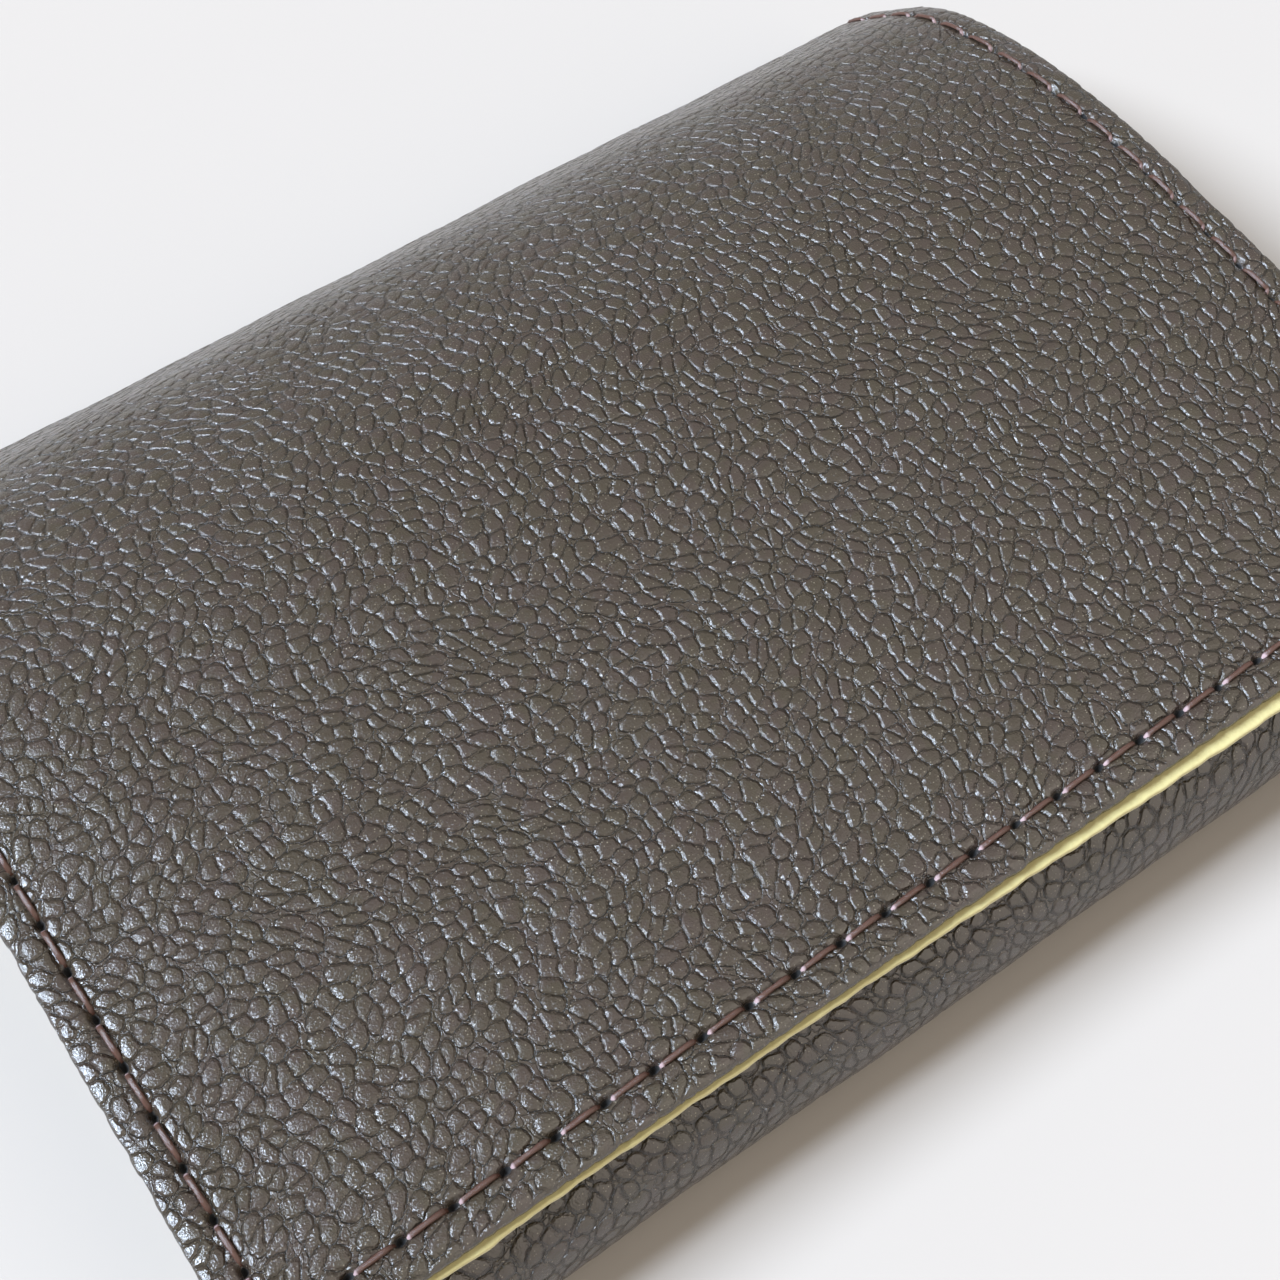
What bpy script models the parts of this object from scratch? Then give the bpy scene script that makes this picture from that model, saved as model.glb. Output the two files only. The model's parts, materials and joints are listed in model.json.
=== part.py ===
"""Business card case: a soft leather case whose flap closes over a gusseted card pocket.

The case lies on its back panel with the flap closed. +X runs along the width, the spine is at +Y,
the flap's free edge and the bottom fold are at -Y, and +Z is up. The origin is the middle of the
underside. Outer leather, stiffener and lining are layers on one fold line, which runs from the
flap's free edge over the spine, along the base, round the bottom fold and up to the pocket mouth.
"""

import bisect
from math import cos, hypot, pi, radians, sin, sqrt

import bmesh
import bpy
from mathutils import Vector

MM = 0.001

# Overall size
WIDTH = 106.0 * MM
HALF_WIDTH = WIDTH / 2
FLAP_TILT = radians(5)
FLAP_CORNER_RADIUS = 5.0 * MM
BOTTOM_FOLD_REACH = 2.45 * MM
BOTTOM_FOLD_RADIUS = 6.0 * MM

# Runs of the fold line from the flap's free edge to the vertical side of the spine
FLAP_FLAT = 38.4 * MM
CREST = (12.9 * MM, radians(9.4))
SHOULDER = (12.4 * MM, radians(12.6))
SLOPE = (8.7 * MM, radians(22))
SPINE_FACE = (6.3 * MM, 0.0)
SPINE_BEND_RADIUS = 6.1 * MM
HEEL_RADIUS = 3.45 * MM
FRONT_PANEL_LENGTH = 42.0 * MM

# Layers, from the outer face inwards
LEATHER = 1.1 * MM
BOARD = 0.4 * MM
LINING = 0.7 * MM
GLUE_GAP = 0.2 * MM
BOARD_DEPTH = LEATHER + GLUE_GAP
LINING_DEPTH = BOARD_DEPTH + BOARD + GLUE_GAP
STACK = LINING_DEPTH + LINING
LINING_OVERHANG = 0.8 * MM

# Seams
SIDE_MARGIN = 2.4 * MM
FRONT_MARGIN = 2.65 * MM
SEAM_X = HALF_WIDTH - SIDE_MARGIN
SEAM_CORNER_RADIUS = 2.7 * MM
THREAD_RADIUS = 0.25 * MM
THREAD_LIFT = 0.05 * MM
THREAD_SIDES = 8

# Inner pieces
BOARD_INSET = 4.4 * MM
BOARD_HALF_WIDTH = HALF_WIDTH - BOARD_INSET
SLIP_POCKET_THICKNESS = 0.6 * MM
SLIP_POCKET_HALF_WIDTH = 45.6 * MM
SLIP_POCKET_Y = (-31.5 * MM, 20.0 * MM)
GUSSET_THICKNESS = 0.7 * MM
GUSSET_TIP_X = 46.4 * MM
GUSSET_ROOT_X = 49.6 * MM
GUSSET_EDGE_X = 52.6 * MM
GUSSET_GAP = 0.25 * MM
GUSSET_START_Y = -31.0 * MM
GUSSET_STATIONS = 6

# Clearance left in the sheets at a fold's axis
FOLD_GAP = 0.7 * MM
ARC_STEP = radians(9)
FLAT_STEP = 6.0 * MM

COLOURS = {
    "leather": ((0.105, 0.082, 0.068, 1), 0.5),
    "lining": ((0.66, 0.56, 0.30, 1), 0.8),
    "board": ((0.45, 0.36, 0.26, 1), 0.9),
    "thread": ((0.30, 0.16, 0.11, 1), 0.55),
}


class FoldLine:
    """A line of straight runs and arcs in the YZ plane, followed by its length."""

    def __init__(self, start, heading, runs):
        self.knots = [0.0]
        self.states = [(start, heading)]
        self.bends = []
        for length, turn in runs:
            (y, z), angle = self.states[-1]
            self.bends.append(turn / length)
            self.states.append(self.advance(y, z, angle, turn / length, length))
            self.knots.append(self.knots[-1] + length)

    @staticmethod
    def advance(y, z, angle, bend, distance):
        """The point and heading after a distance on an arc that turns right by bend per metre."""
        if abs(bend) < 1e-9:
            return (y + distance * cos(angle), z + distance * sin(angle)), angle
        after = angle - bend * distance
        y += (sin(angle) - sin(after)) / bend
        z += (cos(after) - cos(angle)) / bend
        return (y, z), after

    def at(self, s):
        """The point and heading at length s; below 0 the first run is carried on straight."""
        run = min(max(bisect.bisect_right(self.knots, s) - 1, 0), len(self.bends) - 1)
        (y, z), angle = self.states[run]
        return self.advance(y, z, angle, self.bends[run], s - self.knots[run])

    def inside(self, s, depth):
        """The point at a depth under the outer face, on the side that the line turns round."""
        (y, z), angle = self.at(s)
        return y + depth * sin(angle), z - depth * cos(angle)

    def stations(self, start, end):
        """Lengths close enough together for the arcs, with every end of a run between the two."""
        stops = [start] + [k for k in self.knots if start < k < end] + [end]
        found = [start]
        for low, high in zip(stops, stops[1:]):
            run = min(max(bisect.bisect_right(self.knots, (low + high) / 2) - 1, 0), len(self.bends) - 1)
            turn = abs(self.bends[run]) * (high - low)
            steps = max(1, round(max(turn / ARC_STEP, (high - low) / FLAT_STEP)))
            found += [low + (high - low) * i / steps for i in range(1, steps + 1)]
        return found


def case_fold_line():
    """The outer face of the case in section, with its lowest run at z = 0 and y centred on the case."""
    spine_turn = pi / 2 + FLAP_TILT - CREST[1] - SHOULDER[1] - SLOPE[1]
    spine_bend = (SPINE_BEND_RADIUS * spine_turn, spine_turn)
    over = [(FLAP_FLAT, 0.0), CREST, SHOULDER, SLOPE, SPINE_FACE, spine_bend]
    (spine_y, spine_z), _ = FoldLine((0.0, 0.0), FLAP_TILT, over).states[-1]
    front_y = -BOTTOM_FOLD_REACH
    start = (-(spine_y + front_y) / 2, HEEL_RADIUS - spine_z)
    base_length = spine_y - HEEL_RADIUS - (front_y + BOTTOM_FOLD_RADIUS)
    fold_turn = pi - FLAP_TILT
    under = [
        (HEEL_RADIUS * pi / 2, pi / 2),
        (base_length, 0.0),
        (BOTTOM_FOLD_RADIUS * pi / 2, pi / 2),
        (BOTTOM_FOLD_RADIUS * (fold_turn - pi / 2), fold_turn - pi / 2),
        (FRONT_PANEL_LENGTH, 0.0),
    ]
    return FoldLine(start, FLAP_TILT, over + under)


def clear_scene():
    for obj in list(bpy.data.objects):
        bpy.data.objects.remove(obj, do_unlink=True)


def make_materials():
    made = {}
    for name, (colour, roughness) in COLOURS.items():
        material = bpy.data.materials.new(name)
        material.use_nodes = True
        shader = material.node_tree.nodes["Principled BSDF"]
        shader.inputs["Base Color"].default_value = colour
        shader.inputs["Roughness"].default_value = roughness
        shader.inputs["Metallic"].default_value = 0.0
        made[name] = material
    return made


def make_pivot(name, y, z):
    """An empty on a fold's axis, which the pieces that turn there are parented to."""
    pivot = bpy.data.objects.new(name, None)
    pivot.location = (0, y, z)
    bpy.context.collection.objects.link(pivot)
    return pivot


def add_solid(name, rings, material, pivot=None):
    """A closed solid through rings of points in order, with both ends filled."""
    origin = pivot.location if pivot else Vector((0, 0, 0))
    bm = bmesh.new()
    loops = [[bm.verts.new(Vector(point) - origin) for point in ring] for ring in rings]
    for near, far in zip(loops, loops[1:]):
        count = len(near)
        for i in range(count):
            bm.faces.new((near[i], near[(i + 1) % count], far[(i + 1) % count], far[i]))
    bm.faces.new(loops[0])
    bm.faces.new(loops[-1])
    bmesh.ops.triangulate(bm, faces=bm.faces)
    bmesh.ops.recalc_face_normals(bm, faces=bm.faces)
    mesh = bpy.data.meshes.new(name)
    bm.to_mesh(mesh)
    bm.free()
    mesh.materials.append(material)
    obj = bpy.data.objects.new(name, mesh)
    bpy.context.collection.objects.link(obj)
    obj.parent = pivot
    return obj


def rounded_half_width(from_edge, half_width, radius):
    """Half the width of a sheet with round corners, at a distance from its end edge."""
    if from_edge >= radius:
        return half_width
    return half_width - radius + sqrt(max(radius**2 - (radius - from_edge) ** 2, 0.0))


def add_sheet(name, line, span, depths, half_width, material, pivot=None, corner=0.0):
    """A sheet along the fold line between two depths. corner rounds the corners at its first edge."""
    start, end = span
    stations = line.stations(start + corner, end)
    corner_steps = 5 if corner else 0
    early = [start + corner * (1 - cos(pi / 2 * i / corner_steps)) for i in range(corner_steps)]
    rings = []
    for s in early + stations:
        reach = rounded_half_width(s - start, half_width, corner) if corner else half_width
        (outer_y, outer_z), (inner_y, inner_z) = (line.inside(s, depth) for depth in depths)
        rings.append([
            (-reach, outer_y, outer_z),
            (reach, outer_y, outer_z),
            (reach, inner_y, inner_z),
            (-reach, inner_y, inner_z),
        ])
    return add_solid(name, rings, material, pivot)


def add_thread(name, points, material, pivot=None):
    """A round thread through points, its section square to the way it runs and turned no more than needed."""
    points = [Vector(p) for p in points]
    rings = []
    side = None
    for i, point in enumerate(points):
        before, after = points[max(i - 1, 0)], points[min(i + 1, len(points) - 1)]
        along = (after - before).normalized()
        if side is None:
            side = along.orthogonal()
        side = (side - along * side.dot(along)).normalized()
        up = along.cross(side)
        turns = [2 * pi * k / THREAD_SIDES for k in range(THREAD_SIDES)]
        rings.append([point + THREAD_RADIUS * (cos(t) * side + sin(t) * up) for t in turns])
    return add_solid(name, rings, material, pivot)


def seam_points(line, x, span, depth):
    """Points along a side seam, at a depth from the fold line."""
    return [(x, *line.inside(s, depth)) for s in line.stations(*span)]


def make_outer_leather(line, folds, pivots, materials):
    """One cut of leather in life, in four lengths that part at its folds."""
    leather = materials["leather"]
    depths = (0.0, LEATHER)
    flap = (0.0, folds["flap"] - FOLD_GAP)
    add_sheet("flap_leather", line, flap, depths, HALF_WIDTH, leather, pivots["flap"], FLAP_CORNER_RADIUS)
    spine = (folds["flap"] + FOLD_GAP, folds["spine"] - FOLD_GAP)
    add_sheet("spine_leather", line, spine, depths, HALF_WIDTH, leather, pivots["spine"])
    back = (folds["spine"] + FOLD_GAP, folds["pocket"] - FOLD_GAP)
    add_sheet("back_leather", line, back, depths, HALF_WIDTH, leather)
    front = (folds["pocket"] + FOLD_GAP, line.knots[-1])
    add_sheet("front_pocket_leather", line, front, depths, HALF_WIDTH, leather, pivots["pocket"])


def make_lining(line, folds, pivots, materials):
    """The lining follows the leather, and stands proud of it at the flap's free edge."""
    lining = materials["lining"]
    depths = (LINING_DEPTH, STACK)
    flap = (-LINING_OVERHANG, folds["flap"] - FOLD_GAP)
    add_sheet("flap_lining", line, flap, depths, HALF_WIDTH, lining, pivots["flap"], FLAP_CORNER_RADIUS)
    spine = (folds["flap"] + FOLD_GAP, folds["spine"] - FOLD_GAP)
    add_sheet("spine_lining", line, spine, depths, HALF_WIDTH, lining, pivots["spine"])
    back = (folds["spine"] + FOLD_GAP, folds["pocket"] - FOLD_GAP)
    add_sheet("back_lining", line, back, depths, HALF_WIDTH, lining)
    front = (folds["pocket"] + FOLD_GAP, line.knots[-1])
    add_sheet("front_pocket_lining", line, front, depths, HALF_WIDTH, lining, pivots["pocket"])


def make_boards(line, pivots, materials):
    """Stiffeners between the leather and the lining, on the flat runs only and inside the seams."""
    depths = (BOARD_DEPTH, BOARD_DEPTH + BOARD)
    board = materials["board"]
    flap_run = (FRONT_MARGIN + BOARD_INSET / 2, FLAP_FLAT)
    base_run = (line.knots[7] + BOARD_INSET, line.knots[8] - BOARD_INSET)
    front_run = (line.knots[10], line.knots[11] - BOARD_INSET)
    add_sheet("flap_board", line, flap_run, depths, BOARD_HALF_WIDTH, board, pivots["flap"])
    add_sheet("back_board", line, base_run, depths, BOARD_HALF_WIDTH, board)
    add_sheet("front_pocket_board", line, front_run, depths, BOARD_HALF_WIDTH, board, pivots["pocket"])


def make_slip_pocket(materials):
    """A flat pocket wall on the lining of the back panel, open towards the spine."""
    low = STACK + GUSSET_GAP
    high = low + SLIP_POCKET_THICKNESS
    w = SLIP_POCKET_HALF_WIDTH
    rings = [[(-w, y, low), (w, y, low), (w, y, high), (-w, y, high)] for y in SLIP_POCKET_Y]
    add_solid("slip_pocket", rings, materials["lining"])


def front_panel_inner_z(line, y):
    """Height of the lining's inner face under the straight part of the front panel."""
    (start_y, start_z), angle = line.at(line.knots[10])
    inner_y, inner_z = start_y + STACK * sin(angle), start_z - STACK * cos(angle)
    return inner_z + (y - inner_y) * sin(angle) / cos(angle)


def make_gusset(name, side, line, materials):
    """A side wall folded inwards to a V, with a flange on the back panel and one under the front panel."""
    (mouth_y, _), _ = line.at(line.knots[11])
    t = GUSSET_THICKNESS
    rings = []
    for i in range(GUSSET_STATIONS):
        y = GUSSET_START_Y + (mouth_y - GUSSET_START_Y) * i / (GUSSET_STATIONS - 1)
        low = STACK + GUSSET_GAP
        high = front_panel_inner_z(line, y) - GUSSET_GAP
        middle = (low + high) / 2
        slant = hypot(GUSSET_ROOT_X - GUSSET_TIP_X, middle - low) / (middle - low)
        wall = t * slant
        section = [
            (GUSSET_EDGE_X, low),
            (GUSSET_ROOT_X, low),
            (GUSSET_TIP_X, middle),
            (GUSSET_ROOT_X, high),
            (GUSSET_EDGE_X, high),
            (GUSSET_EDGE_X, high - t),
            (GUSSET_ROOT_X + wall / 2, high - t),
            (GUSSET_TIP_X + wall, middle),
            (GUSSET_ROOT_X + wall / 2, low + t),
            (GUSSET_EDGE_X, low + t),
        ]
        rings.append([(side * x, y, z) for x, z in section])
    add_solid(name, rings, materials["leather"])


def make_flap_stitching(line, folds, pivot, material):
    """The flap's row of stitches: up one side, round both front corners and back down the other side."""
    lift = -(THREAD_RADIUS + THREAD_LIFT)
    r = SEAM_CORNER_RADIUS
    side_run = [s for s in line.stations(FRONT_MARGIN + r, folds["flap"] - FOLD_GAP)]
    turns = [pi / 2 * i / 4 for i in range(1, 5)]
    left = [(-SEAM_X, s) for s in reversed(side_run)]
    left += [(-SEAM_X + r * (1 - cos(t)), FRONT_MARGIN + r * (1 - sin(t))) for t in turns]
    right = [(-x, s) for x, s in reversed(left)]
    points = [(x, *line.inside(s, lift)) for x, s in left + right]
    add_thread("flap_stitching", points, material, pivot)


def make_side_seams(line, folds, pivots, material):
    """Rows of stitches at the two sides of the spine, the back panel and the front panel."""
    outside = -(THREAD_RADIUS + THREAD_LIFT)
    on_gusset = STACK + GUSSET_GAP + GUSSET_THICKNESS - outside
    slope_end = line.knots[4]
    base = (line.knots[7] + BOARD_INSET, line.knots[8] - BOARD_INSET)
    front = (line.knots[10], line.knots[11] - FOLD_GAP)
    for side, x in (("left", -SEAM_X), ("right", SEAM_X)):
        spine_points = seam_points(line, x, (folds["flap"] + FOLD_GAP, slope_end), outside)
        add_thread(f"spine_stitching_{side}", spine_points, material, pivots["spine"])
        add_thread(f"back_stitching_{side}", seam_points(line, x, base, on_gusset), material)
        front_points = seam_points(line, x, front, outside)
        add_thread(f"front_pocket_stitching_{side}", front_points, material, pivots["pocket"])


def main():
    clear_scene()
    line = case_fold_line()
    materials = make_materials()
    folds = {"flap": line.knots[2] + SHOULDER[0] / 2, "spine": line.knots[6], "pocket": line.knots[9]}
    pivots = {name: make_pivot(f"{name}_fold_axis", *line.at(s)[0]) for name, s in folds.items()}
    make_outer_leather(line, folds, pivots, materials)
    make_lining(line, folds, pivots, materials)
    make_boards(line, pivots, materials)
    make_slip_pocket(materials)
    for name, side in (("gusset_left", -1), ("gusset_right", 1)):
        make_gusset(name, side, line, materials)
    make_flap_stitching(line, folds, pivots["flap"], materials["thread"])
    make_side_seams(line, folds, pivots, materials["thread"])
    bpy.context.view_layer.update()


main()
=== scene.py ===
import json
import math

import bpy
import numpy as np
from mathutils import Matrix, Vector


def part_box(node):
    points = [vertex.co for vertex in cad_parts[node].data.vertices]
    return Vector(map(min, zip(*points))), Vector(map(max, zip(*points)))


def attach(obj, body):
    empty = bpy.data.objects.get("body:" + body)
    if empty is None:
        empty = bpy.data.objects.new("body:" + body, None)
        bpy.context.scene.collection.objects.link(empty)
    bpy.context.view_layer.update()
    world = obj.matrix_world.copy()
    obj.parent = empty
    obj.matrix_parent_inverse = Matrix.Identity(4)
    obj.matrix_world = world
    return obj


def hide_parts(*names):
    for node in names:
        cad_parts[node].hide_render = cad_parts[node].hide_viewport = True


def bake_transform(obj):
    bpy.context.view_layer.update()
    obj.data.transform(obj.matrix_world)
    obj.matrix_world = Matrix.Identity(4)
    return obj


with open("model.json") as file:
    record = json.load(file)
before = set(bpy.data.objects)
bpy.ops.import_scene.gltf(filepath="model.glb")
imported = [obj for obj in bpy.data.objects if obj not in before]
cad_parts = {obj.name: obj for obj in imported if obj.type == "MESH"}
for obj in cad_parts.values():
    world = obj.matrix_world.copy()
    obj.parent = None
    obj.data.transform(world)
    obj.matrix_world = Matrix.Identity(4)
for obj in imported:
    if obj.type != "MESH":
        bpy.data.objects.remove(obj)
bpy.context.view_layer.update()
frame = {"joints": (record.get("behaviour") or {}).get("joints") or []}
joints = {joint["name"]: joint for joint in frame["joints"]}
metresPerMm = 0.001

# Sheet space is in mm: x across the case, s along the fold line, depth under the outer face.
# The fold line runs from the flap's free edge over the spine, along the base, round the bottom
# fold and up to the pocket mouth, as runs of a length and a turn in degrees.
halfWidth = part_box("back_leather")[1].x / metresPerMm
caseSection = {
    "flapTilt": 5.0,
    "overTheFlap": [(38.4, 0.0), (12.9, 9.4), (12.4, 12.6), (8.7, 22.0), (6.3, 0.0)],
    "spineBend": 6.1,
    "frontPanel": 42.0,
}
layers = {"leather": 1.1, "board": 0.4, "lining": 0.7, "glue": 0.03, "boardStep": 0.65}


# Straight runs and arcs one after another: each run keeps its start point, heading and bend.
def buildFoldLine():
    spineY, spineZ = (joints["spine_fold"]["pos_m"][i] / metresPerMm for i in (1, 2))
    pocketY, pocketZ = (joints["pocket_open"]["pos_m"][i] / metresPerMm for i in (1, 2))
    tilt = caseSection["flapTilt"]
    runs = list(caseSection["overTheFlap"])
    bend = 90 + tilt - sum(turn for _, turn in runs)
    foldTurn = 180 - tilt
    baseLength = spineY - spineZ - (pocketY + pocketZ)
    runs += [(math.radians(bend) * caseSection["spineBend"], bend)]
    spineKnot = len(runs)
    runs += [(math.pi / 2 * spineZ, 90), (baseLength, 0), (math.pi / 2 * pocketZ, 90)]
    runs += [(math.radians(foldTurn - 90) * pocketZ, foldTurn - 90), (caseSection["frontPanel"], 0)]
    states, knots, bends = [(0.0, 0.0, math.radians(tilt))], [0.0], []
    for length, turn in runs:
        y, z, angle = states[-1]
        curve = math.radians(turn) / length
        after = angle - math.radians(turn)
        if turn:
            y += (math.sin(angle) - math.sin(after)) / curve
            z += (math.cos(after) - math.cos(angle)) / curve
        else:
            y += length * math.cos(angle)
            z += length * math.sin(angle)
        states.append((y, z, after))
        knots.append(knots[-1] + length)
        bends.append(curve)
    states = np.array(states)
    states[:, 0] += spineY - states[spineKnot, 0]
    states[:, 1] += spineZ - states[spineKnot, 1]
    return np.array(knots), states, np.array(bends)


knots, runStates, runBends = buildFoldLine()
mouthKnot = knots[-1]
flapCut, baseCut = 71.0, 112.0      # where the sheets are cut: on the slope of the spine and on the base


def smoothStep(low, high, value):
    t = np.clip((value - low) / (high - low), 0, 1)
    return t * t * (3 - 2 * t)


# The flap is fuller in the middle of its width and falls a little towards its open ends.
fullness = {"height": 0.7, "power": 5, "from": (22.0, 50.0), "to": (70.0, 83.0)}


def swell(x, s):
    across = 1 - np.abs(np.clip(x / halfWidth, -1, 1)) ** fullness["power"]
    along = smoothStep(*fullness["from"], s) * (1 - smoothStep(*fullness["to"], s))
    return fullness["height"] * across * along


# Sheet space to the model: along the run's arc to s, then square to it by the depth.
def place(x, s, depth):
    x, s, depth = np.broadcast_arrays(*(np.asarray(v, float) for v in (x, s, depth)))
    run = np.clip(np.searchsorted(knots, s, side="right") - 1, 0, len(runBends) - 1)
    y, z, angle = (runStates[run, i] for i in range(3))
    bend, along = runBends[run], s - knots[run]
    after = angle - bend * along
    safe = np.where(np.abs(bend) < 1e-9, 1.0, bend)
    straight = np.abs(bend) < 1e-9
    y = y + np.where(straight, along * np.cos(angle), (np.sin(angle) - np.sin(after)) / safe)
    z = z + np.where(straight, along * np.sin(angle), (np.cos(after) - np.cos(angle)) / safe)
    inward = depth - swell(x, s)
    return np.stack([x, y + inward * np.sin(after), z - inward * np.cos(after)], -1) * metresPerMm


pebbles = {
    "size": 1.38,           # mm from one pebble to the next
    "randomness": 0.74,
    "reach": 0.60,          # a pebble's largest radius, in pebbles
    "relief": 0.05,         # mm, in the mesh
    "flank": 0.32,          # width of a pebble's flank in the mesh, in pebbles
    "fineFlank": 0.145,     # and in the material
}


# The same mixing of bits that a cell pattern's node uses, so that mesh and material agree.
def hashOf(*keys):
    with np.errstate(over="ignore"):
        bits = [np.asarray(k, np.float32).view(np.uint32) for k in keys]
        start = np.uint32((0xDEADBEEF + (len(keys) << 2) + 13) & 0xFFFFFFFF)
        a, b, c = (np.full(bits[0].shape, start, np.uint32) for _ in range(3))
        a, b = a + bits[0], b + bits[1]
        if len(keys) == 3:
            c = c + bits[2]

        def turn(v, n):
            return (v << np.uint32(n)) | (v >> np.uint32(32 - n))

        c = (c ^ b) - turn(b, 14)
        a = (a ^ c) - turn(c, 11)
        b = (b ^ a) - turn(a, 25)
        c = (c ^ b) - turn(b, 16)
        a = (a ^ c) - turn(c, 4)
        b = (b ^ a) - turn(a, 14)
        c = (c ^ b) - turn(b, 24)
        return c / 4294967295.0


# Distance to the nearest pebble's middle, and to the nearest groove between two pebbles.
def pebbleCells(gx, gy):
    cellX, cellY = np.floor(gx), np.floor(gy)
    fracX, fracY = gx - cellX, gy - cellY
    reach = [(i, j) for i in (-2, -1, 0, 1, 2) for j in (-2, -1, 0, 1, 2)]
    spots = []
    for i, j in reach:
        x, y = cellX + i, cellY + j
        spots.append((i + hashOf(x, y) * pebbles["randomness"] - fracX,
                      j + hashOf(x, y, np.ones_like(x)) * pebbles["randomness"] - fracY))
    spots = np.array(spots)
    nearest = np.argmin((spots ** 2).sum(1), 0)
    own = np.take_along_axis(spots, nearest[None, None, :], 0)[0]
    away = spots - own
    length = np.sqrt((away ** 2).sum(1))
    groove = ((spots + own) / 2 * away).sum(1) / np.where(length < 1e-6, 1, length)
    groove[length < 1e-6] = 9
    return np.sqrt((own ** 2).sum(0)), groove.min(0)


# Pattern coordinates in pebbles: the rows run from spine to free edge, slanting and wavering,
# by sums of slow sine waves.
def grainCoordinates(x, s):
    turn = math.radians(11)
    a = x * math.cos(turn) + s * math.sin(turn)
    b = -x * math.sin(turn) + s * math.cos(turn)
    a = a + 1.1 * np.sin(0.17 * b + 0.9) + 0.5 * np.sin(0.41 * b + 0.19 * a) + 0.16 * np.sin(1.1 * b - 0.7 * a)
    b = b + 0.9 * np.sin(0.13 * a + 2.1) + 0.45 * np.sin(0.37 * a - 0.23 * b) + 0.16 * np.sin(1.2 * a + 0.6 * b)
    return a / pebbles["size"] + 40, b / pebbles["size"] + 40


# A pebble's height: round where it has room and cut short by its neighbours, a quarter circle up
# from the groove and a slight dome on top.
def pebbleHeight(middle, groove):
    t = np.clip(np.minimum(groove, pebbles["reach"] - middle) / pebbles["flank"], 0, 1)
    return np.sqrt(1 - (1 - t) ** 2) * 0.9 + 0.1 * (1 - np.clip(middle, 0, 1) ** 2)


seams = {
    "side": 2.4, "front": 2.65, "corner": 2.7, "pitch": 3.685, "phase": 2.63,
    "band": 0.55, "grooveWidth": 0.55, "grooveDepth": 0.16, "holeLength": 0.42, "holeWidth": 0.24, "holeDepth": 0.75,
}
seamX = halfWidth - seams["side"]
cornerLength = math.pi / 2 * seams["corner"]
frontRun = 2 * (seamX - seams["corner"])


# Distance along and across the flap's seam, which turns both front corners on an arc.
def flapSeam(x, s):
    r = seams["corner"]
    side = np.abs(x)
    past = s - (seams["front"] + r)                  # beyond the corner, up the side
    out = side - (seamX - r)                         # beyond the corner, out from the middle
    angle = np.arctan2(np.clip(out, 1e-9, None), np.clip(-past, 1e-9, None))
    corner = (out > 0) & (past < 0)
    onSide = ~corner & ((past >= 0) & (seamX - side < s - seams["front"]))
    across = np.where(corner, r - np.hypot(out, past), np.where(onSide, seamX - side, s - seams["front"]))
    fromMiddle = np.where(corner, frontRun / 2 + angle * r,
                          np.where(onSide, frontRun / 2 + cornerLength + past, side))
    along = cornerLength + frontRun / 2 + np.sign(x) * fromMiddle
    return along, across


# The way back: a point on the seam's line from the distance along it.
def flapSeamPoint(along):
    r = seams["corner"]
    fromMiddle = along - (cornerLength + frontRun / 2)
    d = np.abs(fromMiddle)
    angle = np.clip((d - frontRun / 2) / r, 0, math.pi / 2)
    past = np.clip(d - frontRun / 2 - cornerLength, 0, None)
    x = np.clip(d, 0, frontRun / 2) + r * np.sin(angle)
    s = seams["front"] + r * (1 - np.cos(angle)) + past
    return np.sign(fromMiddle) * x, s


# How far a seam pulls the leather in: a shallow groove with a pit at each stitch hole.
def seamDepth(along, across, deeper):
    groove = seams["grooveDepth"] * (1 + 1.6 * deeper) * np.exp(-(across / seams["grooveWidth"]) ** 2)
    off = (along - seams["phase"] + seams["pitch"] / 2) % seams["pitch"] - seams["pitch"] / 2
    away = (off / seams["holeLength"]) ** 2 + (across / seams["holeWidth"] / 1.3) ** 2
    hole = seams["holeDepth"] * (1 - 0.5 * deeper) * np.exp(-away ** 1.5)
    return groove + hole


# On the base the seams sink deeper and the whole face stays above the table.
def onBase(s):
    return smoothStep(knots[6], knots[7] + 3, s) * (1 - smoothStep(knots[8] - 3, knots[9], s))


# A mesh of quads, with the other polygons given as lists of vertices.
def makeMesh(name, points, quads, polygons=()):
    mesh = bpy.data.meshes.new(name)
    if len(polygons):
        mesh.from_pydata(points.tolist(), [], quads.tolist() + [list(p) for p in polygons])
    else:
        mesh.vertices.add(len(points))
        mesh.vertices.foreach_set("co", points.astype(np.float32).ravel())
        mesh.loops.add(quads.size)
        mesh.loops.foreach_set("vertex_index", quads.astype(np.int32).ravel())
        mesh.polygons.add(len(quads))
        mesh.polygons.foreach_set("loop_start", np.arange(0, quads.size, 4, dtype=np.int32))
        mesh.update(calc_edges=True)
    mesh.polygons.foreach_set("use_smooth", np.ones(len(mesh.polygons), bool))
    mesh.update()
    thing = bpy.data.objects.new(name, mesh)
    bpy.context.scene.collection.objects.link(thing)
    return thing


def setAttribute(thing, name, values):
    made = thing.data.attributes.new(name, "FLOAT_VECTOR", "POINT")
    made.data.foreach_set("vector", np.asarray(values, np.float32).ravel())


smallestStep, smallestRow = 0.03, 0.04      # mm between grid lines across and along a sheet
cutRim = 0.02                               # mm of rim where a sheet is cut and goes on in the next


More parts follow.
